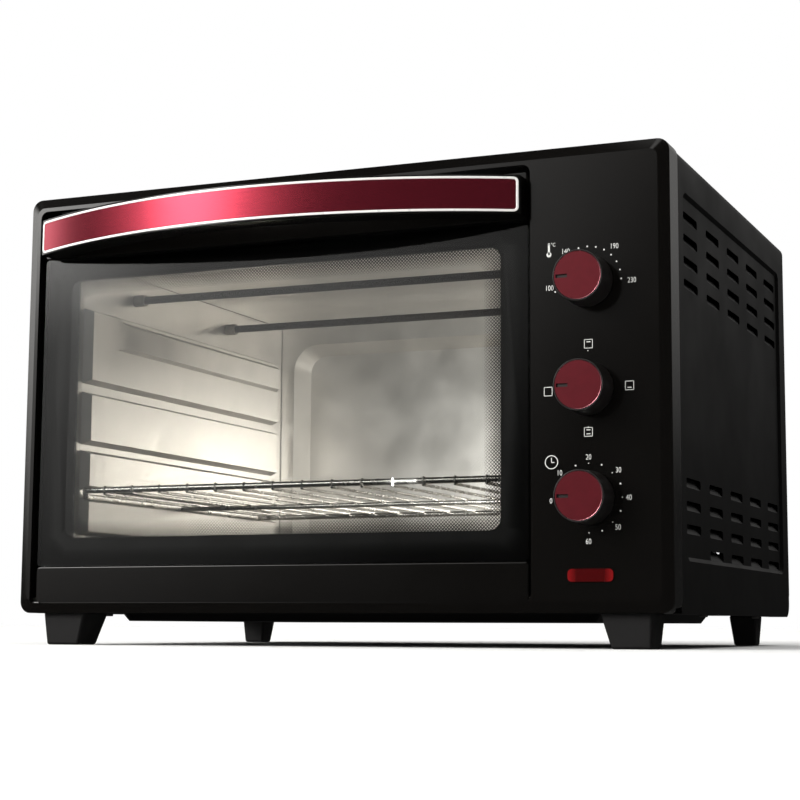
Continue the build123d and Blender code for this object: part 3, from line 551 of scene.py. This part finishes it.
def print_timer(bm, x, z):
    for words, dx, dz in (("0", -28.2, -1.6), ("10", -21.7, 18.2), ("20", 0, 28.9), ("30", 21.9, 19.1),
                          ("40", 29.4, -0.4), ("50", 21.3, -21.1), ("60", -0.4, -30.8)):
        print_text(bm, words, x + dx, z + dz)
    for step in range(11):
        ring, radius = (DOT_RING, DOT_RADIUS) if step % 2 else (TICK_RING, TICK_RADIUS)
        dx, dz = around(ring, -45 + 22.5 * step)
        print_dot(bm, x + dx, z + dz, radius)
    print_ring(bm, x - 27.7, z + 26.2, 5, SYMBOL_LINE)
    print_bar(bm, x - 27.7, z + 27.7, SYMBOL_LINE, 3.4)
    print_bar(bm, x - 26.7, z + 26.0, 2.4, SYMBOL_LINE)


bm = bmesh.new()
print_thermostat(bm, KNOB_X, KNOB_Z["thermostat"])
print_function(bm, KNOB_X, KNOB_Z["function"])
print_timer(bm, KNOB_X, KNOB_Z["timer"])
place(bm, "dial_prints", pale_ink, "cabinet", "white_plastic")


# Knobs: turned shapes moulded in satin black plastic, each with a thin disc of burgundy metal let into its
# front. The disc's edge is cut bright, and a slot in it points at the dial.
KNOB_STEPS, KNOB_TAPER, KNOB_EDGE = 72, 0.8, 0.6
DISC_RECESS, DISC_STEP = 1.2, 0.05
CUT_WIDTH, CUT_FLAT, CUT_FALL = 0.45, 0.15, 0.35
SLOT_X, SLOT_HEIGHT = (-16, -7.5), 2.5

satin_plastic = Finish("satin_black_plastic", Base_Color=colour(34, 32, 31), Roughness=0.38)
satin_plastic.relief(satin_plastic.clouds(0.5, 1.0), 0.02, 0.3)
satin_plastic.give(Roughness=satin_plastic.clouds(8).between(0.3, 0.7, 0.33, 0.42))
turned_metal = Finish("burgundy_disc_metal", Metallic=0.6, Roughness=0.35)
turned_metal.give(Base_Color=turned_metal.blend(turned_metal.clouds(6), colour(84, 20, 28), colour(96, 24, 34)))
bright_cut = Finish("bright_cut_edge", Base_Color=colour(226, 150, 160), Metallic=1.0, Roughness=0.22)
bright_cut.give(Roughness=bright_cut.clouds(2).between(0.3, 0.7, 0.18, 0.28))


def turned_shape(bm, profile, x, z, steps=KNOB_STEPS):
    """Turns a profile, given as radius and y, about a line along y through a place."""
    points = [bm.verts.new((x + radius, y, z)) for radius, y in profile]
    edges = [bm.edges.new(pair) for pair in zip(points, points[1:])]
    bmesh.ops.spin(bm, geom=points + edges, cent=(x, 0, z), axis=(0, 1, 0), dvec=(0, 0, 0),
                   angle=math.radians(360), steps=steps, use_merge=True, use_duplicate=False)
    faces_out(bm)


for control in KNOB_Z:
    body = control + "_control"
    low, high = span(control + "_knob")
    front, back = low.y, high.y
    middle_x, middle_z = (low.x + high.x) / 2, (low.z + high.z) / 2
    disc_low = span(control + "_knob_disc")[0]
    disc_radius, disc_front = middle_x - disc_low.x, disc_low.y
    wide = (high.x - low.x) / 2
    narrow = wide - KNOB_TAPER
    bm = bmesh.new()
    turned_shape(bm, ((0, front + DISC_RECESS), (disc_radius, front + DISC_RECESS), (disc_radius, front),
                      (narrow, front), (wide, back), (wide - 2, back), (0, back)), middle_x, middle_z)
    knob = place(bm, control + "_knob_body", satin_plastic, body, "satin_black", [control + "_knob"])
    round_edges(knob, KNOB_EDGE)

    bm = bmesh.new()
    face_radius = disc_radius - CUT_WIDTH
    rim = bmesh.ops.create_circle(bm, cap_ends=True, segments=KNOB_STEPS, radius=face_radius)["verts"]
    face_front(bm, rim)
    bmesh.ops.translate(bm, vec=(middle_x, disc_front + DISC_STEP, middle_z), verts=rim)
    half = SLOT_HEIGHT / 2
    slot = cut_out(bm, bm.faces[:][0], (0, middle_x + SLOT_X[0], middle_x + SLOT_X[1]),
                   (2, middle_z - half, middle_z + half))
    bmesh.ops.delete(bm, geom=[slot], context="FACES_ONLY")
    disc = place(bm, control + "_disc_face", turned_metal, body, "burgundy_metal", [control + "_knob_disc"])
    give_thickness(disc, DISC_RECESS)
    round_edges(disc, 0.15, 2)

    bm = bmesh.new()
    turned_shape(bm, ((face_radius, disc_front + DISC_RECESS), (face_radius, disc_front + DISC_STEP),
                      (face_radius + CUT_FLAT, disc_front), (disc_radius, disc_front + CUT_FALL),
                      (disc_radius, disc_front + DISC_RECESS)), middle_x, middle_z)
    place(bm, control + "_disc_edge", bright_cut, body, "burgundy_metal")


# Door rails: the lower strip and the upper rail that hold the glass, glossy black enamelled steel with soft
# edges. The strip turns on the hinge pins and carries the glass in its groove.
gloss_enamel = Finish("gloss_black_enamel", Base_Color=colour(16, 15, 14), Roughness=0.1)
gloss_enamel.relief(gloss_enamel.clouds(18, 1.0), 0.1, 0.08)
gloss_enamel.give(Roughness=gloss_enamel.clouds(70).between(0.3, 0.7, 0.09, 0.14))


def slab(bm, x, z, y, radius):
    """A solid plate with rounded corners, between two values of y."""
    face = round_corners(bm, panel(bm, x, z, y[0]), radius, 5)
    back = bmesh.ops.extrude_face_region(bm, geom=[face], use_keep_orig=True)["geom"]
    bmesh.ops.translate(bm, vec=(0, y[1] - y[0], 0), verts=verts_of(back))
    faces_out(bm)


for node, radius in (("door_bottom_rail", 4), ("door_top_rail", 2)):
    low, high = span(node)
    bm = bmesh.new()
    slab(bm, (low.x, high.x), (low.z, high.z), (low.y, high.y), radius)
    rail = place(bm, node + "_enamelled", gloss_enamel, "door", "black_enamel", [node])
    round_edges(rail, 1.4, 4)


# Door glass: a toughened pane. Its border is printed black on the inside, and the print ends in a net of small
# clear holes all round the window.
WINDOW_X, WINDOW_Z, WINDOW_CORNER = (-233, 140), (85, 294), 8.5
PRINT_BEHIND, PRINT_WALL = 0.15, 0.05
NET_PITCH = 2.6
NET_BANDS = ((-1.3, 1.1), (2, 0.95), (4, 0.8), (6, 0.62), (8, 0.45), (10, 0.3), (12, 0))

glass = Finish("clear_glass")
rays = glass.node("BsdfTransparent", {}, {"Color": (0.93, 0.94, 0.93)})
mirror = glass.node("BsdfGlossy", {}, {"Color": (1, 1, 1), "Roughness": 0.03})
bounced = glass.node("Fresnel", {}, {"IOR": 1.45})
pane = glass.node("MixShader", {}, {0: bounced, 1: rays, 2: mirror})
glass.set(glass.tree.nodes["Material Output"], {"Surface": pane})
dress(glass, "door_glass")

glass_print = Finish("black_glass_print", Base_Color=colour(9, 9, 9), Roughness=0.6)
glass_print.give(Roughness=glass_print.clouds(30).between(0.3, 0.7, 0.55, 0.65))

low, high = span("door_glass")
print_y = high.y - PRINT_BEHIND
bm = bmesh.new()
border = panel(bm, (low.x + 1, high.x - 1), (low.z + 0.5, high.z - 0.5), print_y)
window = cut_out(bm, border, (0, *WINDOW_X), (2, *WINDOW_Z), WINDOW_CORNER, 6)
bmesh.ops.delete(bm, geom=[window], context="FACES_ONLY")
border = place(bm, "glass_border_print", glass_print, "door", "gloss_black")
give_thickness(border, PRINT_WALL)


def inside_outline(x, z, margin, corner):
    """Tells whether a place lies within the window's outline, drawn in by a margin."""
    half_x = (WINDOW_X[1] - WINDOW_X[0]) / 2 - margin
    half_z = (WINDOW_Z[1] - WINDOW_Z[0]) / 2 - margin
    beyond_x = abs(x - sum(WINDOW_X) / 2) - half_x + corner
    beyond_z = abs(z - sum(WINDOW_Z) / 2) - half_z + corner
    if min(beyond_x, beyond_z) < 0:
        return max(beyond_x, beyond_z) < corner
    return math.hypot(beyond_x, beyond_z) < corner


bm = bmesh.new()
row_height = NET_PITCH / 2
cells = {margin: [] for margin, _ in NET_BANDS}
for row in range(-2, round((WINDOW_Z[1] - WINDOW_Z[0]) / row_height) + 2):
    for column in range(-2, round((WINDOW_X[1] - WINDOW_X[0]) / NET_PITCH) + 2):
        x = WINDOW_X[0] + (column + row % 2 / 2) * NET_PITCH
        z = WINDOW_Z[0] + row * row_height
        margins = [margin for margin, _ in NET_BANDS if inside_outline(x, z, margin, WINDOW_CORNER)]
        if margins and margins[-1] < NET_BANDS[-1][0]:
            cell = bmesh.ops.create_circle(bm, cap_ends=True, segments=4, radius=row_height,
                                           matrix=Matrix.Translation((x, z, 0)))["verts"]
            cells[margins[-1]].append(cell[0].link_faces[0])
for margin, line in NET_BANDS:
    bmesh.ops.inset_individual(bm, faces=cells[margin], thickness=line / 2)
bmesh.ops.delete(bm, geom=[cell for band in cells.values() for cell in band], context="FACES_ONLY")
face_front(bm, bm.verts)
bmesh.ops.translate(bm, vec=(0, print_y, 0), verts=bm.verts)
place(bm, "glass_net_print", glass_print, "door", "gloss_black")


# Handle: a bowed bar moulded in glossy black plastic, on two end blocks that screws hold to the upper rail. A
# chrome-plated frame and a strip of brushed burgundy metal are let into its front.
BOW_RADIUS, BAR_DEPTH, BAR_MIDDLE_X, BAR_FRONT = 453.4, 20, -43, -239
BLOCK_WIDTH = 26
TRIM_WIDTH, TRIM_CORNER, TRIM_WALL = 1.8, 3.5, 1.5
STRIP_CORNER, STRIP_WALL = 2, 0.8
BOW_STEPS = 48

bow_centre_y = BAR_FRONT + BOW_RADIUS
handle_low, handle_high = span("handle_body")


def all_of(bm):
    return bm.verts[:] + bm.edges[:] + bm.faces[:]


def slice_off(bm, point, normal):
    """Cuts away what lies beyond a plane, and closes the cut."""
    bmesh.ops.bisect_plane(bm, geom=all_of(bm), dist=1e-4, plane_co=point, plane_no=normal, clear_outer=True)
    bmesh.ops.holes_fill(bm, edges=[edge for edge in bm.edges if edge.is_boundary], sides=0)


bm = bmesh.new()
half_angle = math.asin((handle_high.x - BAR_MIDDLE_X) / BOW_RADIUS) + math.radians(2)
bmesh.ops.create_grid(bm, x_segments=1, y_segments=1, size=0.5)
bmesh.ops.rotate(bm, cent=(0, 0, 0), matrix=Matrix.Rotation(math.radians(90), 3, "Y"), verts=bm.verts)
bmesh.ops.scale(bm, vec=(1, BAR_DEPTH, handle_high.z - handle_low.z), verts=bm.verts)
section_middle = (BAR_MIDDLE_X, BAR_FRONT + BAR_DEPTH / 2, (handle_low.z + handle_high.z) / 2)
bmesh.ops.translate(bm, vec=section_middle, verts=bm.verts)
bow_middle = (BAR_MIDDLE_X, bow_centre_y, 0)
bmesh.ops.rotate(bm, cent=bow_middle, matrix=Matrix.Rotation(-half_angle, 3, "Z"), verts=bm.verts)
bmesh.ops.spin(bm, geom=all_of(bm), cent=bow_middle, axis=(0, 0, 1), dvec=(0, 0, 0), angle=2 * half_angle,
               steps=BOW_STEPS, use_merge=False, use_duplicate=False)
slice_off(bm, (handle_low.x, 0, 0), (-1, 0, 0))
slice_off(bm, (handle_high.x, 0, 0), (1, 0, 0))
slice_off(bm, (0, handle_high.y, 0), (0, 1, 0))
faces_out(bm)
for x in (handle_low.x + BLOCK_WIDTH, handle_high.x - BLOCK_WIDTH):
    bmesh.ops.bisect_plane(bm, geom=all_of(bm), dist=1e-4, plane_co=(x, 0, 0), plane_no=(1, 0, 0))
bm.normal_update()
block_start = handle_high.x - BLOCK_WIDTH - BAR_MIDDLE_X
backs = [face for face in bm.faces if face.normal.y > 0.7 and face.calc_center_median().y < handle_high.y - 0.1
         and abs(face.calc_center_median().x - BAR_MIDDLE_X) > block_start]
for vertex in verts_of(bmesh.ops.extrude_face_region(bm, geom=backs)["geom"]):
    vertex.co.y = handle_high.y
faces_out(bm)
handle = place(bm, "handle_bar", gloss_plastic, "door", "gloss_black", ["handle_body"], 30)
round_edges(handle, 1.3, 3, 35)


def bowed_plate(node, inset, corner):
    """A flat plate with a node's outline, cut in steps along x and bent round the bow."""
    low, high = span(node)
    bm = bmesh.new()
    round_corners(bm, panel(bm, (low.x, high.x), (low.z, high.z), low.y), corner, 5)
    if inset:
        inner = bm.faces[:]
        bmesh.ops.inset_region(bm, faces=inner, thickness=inset, use_boundary=True, use_even_offset=True)
        bmesh.ops.delete(bm, geom=inner, context="FACES_ONLY")
    for step in range(1, BOW_STEPS):
        x = low.x + (high.x - low.x) * step / BOW_STEPS
        bmesh.ops.bisect_plane(bm, geom=all_of(bm), dist=1e-4, plane_co=(x, 0, 0), plane_no=(1, 0, 0))
    radius = bow_centre_y - low.y
    for vertex in bm.verts:
        vertex.co.y = bow_centre_y - math.sqrt(radius ** 2 - (vertex.co.x - BAR_MIDDLE_X) ** 2)
    return bm


# The chrome frame is drawn pale and mostly matt rather than as a mirror: its near-white colour is a painted
# sheen standing in for the chrome's bright reflection.
chrome_painted_sheen = Finish("chrome_painted_sheen", Base_Color=colour(236, 233, 230), Metallic=0.2, Roughness=0.3)
chrome_painted_sheen.give(Roughness=chrome_painted_sheen.clouds(12).between(0.3, 0.7, 0.26, 0.34))
trim = place(bowed_plate("handle_trim", TRIM_WIDTH, TRIM_CORNER), "handle_frame", chrome_painted_sheen, "door",
             "chrome", ["handle_trim"], 30)
give_thickness(trim, TRIM_WALL)
round_edges(trim, 0.5, 3, 40)

brushed_metal = Finish("brushed_burgundy_metal", Metallic=0.9, Roughness=0.22)
brushing = brushed_metal.clouds(0.35, 2.0, stretch=(0.01, 1, 1))
brushed_metal.give(Base_Color=brushed_metal.blend(brushing, colour(150, 48, 62), colour(166, 60, 76)),
                   Roughness=brushing.between(0.3, 0.7, 0.19, 0.27))
brushed_metal.relief(brushing, 0.02, 0.15)
insert = place(bowed_plate("handle_insert", 0, STRIP_CORNER), "handle_strip", brushed_metal, "door",
               "burgundy_metal", ["handle_insert"], 30)
give_thickness(insert, STRIP_WALL)
round_edges(insert, 0.2, 2, 40)


# Cavity: aluminised steel sheet. Its sides are pressed with raised pads that carry the rack, the topmost with a
# second step on it. The ceiling and the back, which has one large pressed recess, are sheets of their own, so
# thin gaps show where they meet the sides.
PAD_BANDS, PAD_RISE, PAD_SLOPE = ((67, 89), (104, 128), (141, 176), (191, 245)), 8, 4
PAD_FRONT, PAD_BACK = 6, 20
STEP_BAND, STEP_FRONT, STEP_BACK, STEP_RISE, STEP_SLOPE, STEP_RAMP = (219, 243.5), 45.5, 26, 4, 3.5, 12
RECESS_SIDE, RECESS_FOOT, RECESS_TOP, RECESS_CORNER = 14, 16, 268.5, 26
RECESS_SLOPE, RECESS_DEPTH = 9, 20
SEAM, CAVITY_WALL = 1.1, 1

aluminised = Finish("aluminised_steel", Metallic=0.9, Roughness=0.4)
spangle = aluminised.clouds(35, 3.0)
bright_share = spangle.between(0.3, 0.7)
aluminised.give(Base_Color=aluminised.blend(bright_share, colour(186, 182, 176), colour(198, 194, 188)),
                Roughness=spangle.between(0.3, 0.7, 0.36, 0.44))
aluminised.relief(aluminised.clouds(1.5, 3.0), 0.05, 0.2)



def wall_at(bm, side, z):
    """The largest face of one side wall that reaches across a height."""
    walls = [face for face in bm.faces if face.normal.x * side > 0.99
             and min(vertex.co.z for vertex in face.verts) < z < max(vertex.co.z for vertex in face.verts)]
    return max(walls, key=lambda face: face.calc_area())


liner_low, liner_high = span("cavity_liner")
inwards = Vector((CAVITY_WALL, 0, CAVITY_WALL))
cavity_low, cavity_high = liner_low + inwards, liner_high - inwards
bm = bmesh.new()
bmesh.ops.create_cube(bm, size=1)
bmesh.ops.scale(bm, vec=cavity_high - cavity_low, verts=bm.verts)
bmesh.ops.translate(bm, vec=(cavity_low + cavity_high) / 2, verts=bm.verts)
bmesh.ops.delete(bm, geom=[face for face in bm.faces if abs(face.normal.y) > 0.9], context="FACES_ONLY")
faces_out(bm, inwards=True)
ceiling = max(bm.faces, key=lambda face: face.calc_center_median().z)
strips = cut_grid(bm, ceiling, [(0, cavity_low.x + SEAM), (0, cavity_high.x - SEAM)])
slit_area = 2 * SEAM * (cavity_high.y - cavity_low.y)
bmesh.ops.delete(bm, geom=[strip for strip in strips if strip.calc_area() < slit_area], context="FACES_ONLY")
for vertex in bm.verts:
    vertex.co.y = min(vertex.co.y, cavity_high.y - SEAM)
for side in (1, -1):
    for pad_low, pad_high in PAD_BANDS:
        wall = wall_at(bm, side, cabinet_bottom + pad_low)
        pad = cut_out(bm, wall, (1, cavity_low.y + PAD_FRONT, cavity_high.y - PAD_BACK),
                      (2, cabinet_bottom + pad_low - PAD_SLOPE, cabinet_bottom + pad_high + PAD_SLOPE))
        bmesh.ops.inset_individual(bm, faces=[pad], thickness=PAD_SLOPE, depth=PAD_RISE)
    step = cut_out(bm, pad, (1, cavity_low.y + STEP_FRONT, cavity_high.y - STEP_BACK),
                   (2, *(cabinet_bottom + value for value in STEP_BAND)))
    bmesh.ops.inset_individual(bm, faces=[step], thickness=STEP_SLOPE, depth=STEP_RISE)
    step_middle = step.calc_center_median().y
    for vertex in step.verts:
        vertex.co.y += STEP_RAMP if vertex.co.y < step_middle else 0
liner = place(bm, "cavity_walls", aluminised, "cabinet", "aluminised_steel", ["cavity_liner"])
give_thickness(liner, CAVITY_WALL)
round_edges(liner, 1.6, 4, 25)

low, high = span("cavity_back")
bm = bmesh.new()
back = panel(bm, (low.x, high.x), (low.z, high.z), low.y)
recess = cut_out(bm, back, (0, cavity_low.x + RECESS_SIDE, cavity_high.x - RECESS_SIDE),
                 (2, cavity_low.z + RECESS_FOOT, cabinet_bottom + RECESS_TOP), RECESS_CORNER, 8)
bmesh.ops.inset_individual(bm, faces=[recess], thickness=RECESS_SLOPE, depth=-RECESS_DEPTH)
rear_wall = place(bm, "cavity_rear_wall", aluminised, "cabinet", "aluminised_steel", ["cavity_back"])
give_thickness(rear_wall, CAVITY_WALL)
round_edges(rear_wall, 3, 5, 25)


# Heating elements: straight rods with a dark steel sheath, two above and two below the rack. Grey ceramic
# bushes in the cavity's sides hold their ends.
dark_sheath = Finish("dark_element_sheath", Metallic=0.3, Roughness=0.5, Specular_IOR_Level=0.2)
scorching = dark_sheath.clouds(14, 3.0)
dark_sheath.give(Base_Color=dark_sheath.blend(scorching, colour(24, 20, 18), colour(36, 31, 28)))
dress(dark_sheath, "upper_element_front", "upper_element_rear", "lower_element_front", "lower_element_rear")
grey_ceramic = Finish("grey_ceramic", Roughness=0.5)
speckling = grey_ceramic.clouds(3)
grey_ceramic.give(Base_Color=grey_ceramic.blend(speckling, colour(104, 98, 90), colour(124, 117, 108)))
dress(grey_ceramic, "element_bushes")


# Wire rack: welded steel wire with a bright chrome finish. It slides on the cavity's pressed pads and isn't
# fixed to them.
rack_chrome = Finish("rack_chrome", Base_Color=colour(205, 202, 197), Metallic=1.0, Roughness=0.25)
rack_chrome.give(Roughness=rack_chrome.clouds(9).between(0.3, 0.7, 0.2, 0.3))
dress(rack_chrome, "wire_rack")


# Feet: tapered mouldings in matt black plastic, screwed to the base pan from below. Each has the size of its
# sole and of its head, as lowest and highest x and then y, given for the right-hand side.
FOOT_TOP_Z = 26
FRONT_FOOT = ((221, 250.3, -164.5, -137.5), (213.5, 252, -167.5, -131.5))
REAR_FOOT = ((231.5, 250.3, 168.5, 186.5), (228, 252, 165.5, 190.5))

matt_plastic = Finish("matt_black_plastic", Base_Color=colour(26, 25, 25), Roughness=0.55)
matt_plastic.relief(matt_plastic.clouds(0.6, 2.0), 0.06, 0.5)
matt_plastic.give(Roughness=matt_plastic.clouds(10).between(0.3, 0.7, 0.5, 0.6))

for node, (sole, head), side in (("foot_front_right", FRONT_FOOT, 1), ("foot_front_left", FRONT_FOOT, -1),
                                 ("foot_rear_right", REAR_FOOT, 1), ("foot_rear_left", REAR_FOOT, -1)):
    bm = bmesh.new()
    bmesh.ops.create_cube(bm, size=2)
    for vertex in bm.verts:
        x_low, x_high, y_low, y_high = head if vertex.co.z > 0 else sole
        vertex.co.x = side * (x_high if vertex.co.x > 0 else x_low)
        vertex.co.y = y_high if vertex.co.y > 0 else y_low
        vertex.co.z = FOOT_TOP_Z if vertex.co.z > 0 else 0
    faces_out(bm)
    foot = place(bm, node + "_moulding", matt_plastic, "cabinet", "satin_black", [node])
    round_edges(foot, 2, 4)


# Rear fittings: two spacers that keep the oven off the wall, and the gland that grips the mains cord. They are
# matt plastic like the feet, and stand on the rear cover.
dress(matt_plastic, "wall_spacers", "cord_gland")


# Steel fittings: screws, hinge pins, shafts, springs, stays and the bell with a dull zinc finish. The brackets,
# the heat shield and the cases of the thermostat and the timer are galvanised sheet.
zinc_steel = Finish("zinc_plated_steel", Base_Color=colour(150, 148, 145), Metallic=1.0, Roughness=0.35)
zinc_steel.give(Roughness=zinc_steel.clouds(5).between(0.3, 0.7, 0.28, 0.42))
dress(zinc_steel, "cabinet_screws", "rear_cover_screws", "foot_screws", "bracket_screws", "handle_screws",
      "hinge_pin_left", "hinge_pin_right", "door_stay_left", "door_stay_right", "door_springs", "timer_bell",
      "thermostat_shaft", "function_shaft", "timer_shaft")
galvanised = Finish("galvanised_sheet", Metallic=0.8, Roughness=0.42)
flakes = galvanised.node("TexVoronoi", {}, {"Vector": galvanised.millimetres(), "Scale": 1 / 9}, "Color")
flake_share = galvanised.node("SeparateColor", {}, {0: flakes})
galvanised.give(Base_Color=galvanised.blend(flake_share, colour(150, 153, 155), colour(186, 188, 188)))
dress(galvanised, "control_bracket", "heat_shield", "hinge_bracket_left", "hinge_bracket_right", "thermostat",
      "timer_mechanism")


# Controls and wiring points: a switch, a terminal block and a lamp holder in white plastic. Brass nuts hold the
# controls to their bracket, and the sensing bulb has the same metal's colour.
white_plastic = Finish("white_plastic", Roughness=0.45)
mottling = white_plastic.clouds(6)
white_plastic.give(Base_Color=white_plastic.blend(mottling, colour(214, 211, 202), colour(228, 226, 219)))
dress(white_plastic, "function_switch", "terminal_block", "indicator_lamp")
brass = Finish("brass", Metallic=1.0, Roughness=0.3)
brass.give(Base_Color=brass.blend(brass.clouds(4), colour(188, 140, 78), colour(206, 160, 96)))
dress(brass, "control_nuts", "thermostat_bulb")


# Door frame: the inner frame behind the glass, of steel enamelled black like the rails. It holds the pane from
# behind.
dress(gloss_enamel, "door_inner_frame")
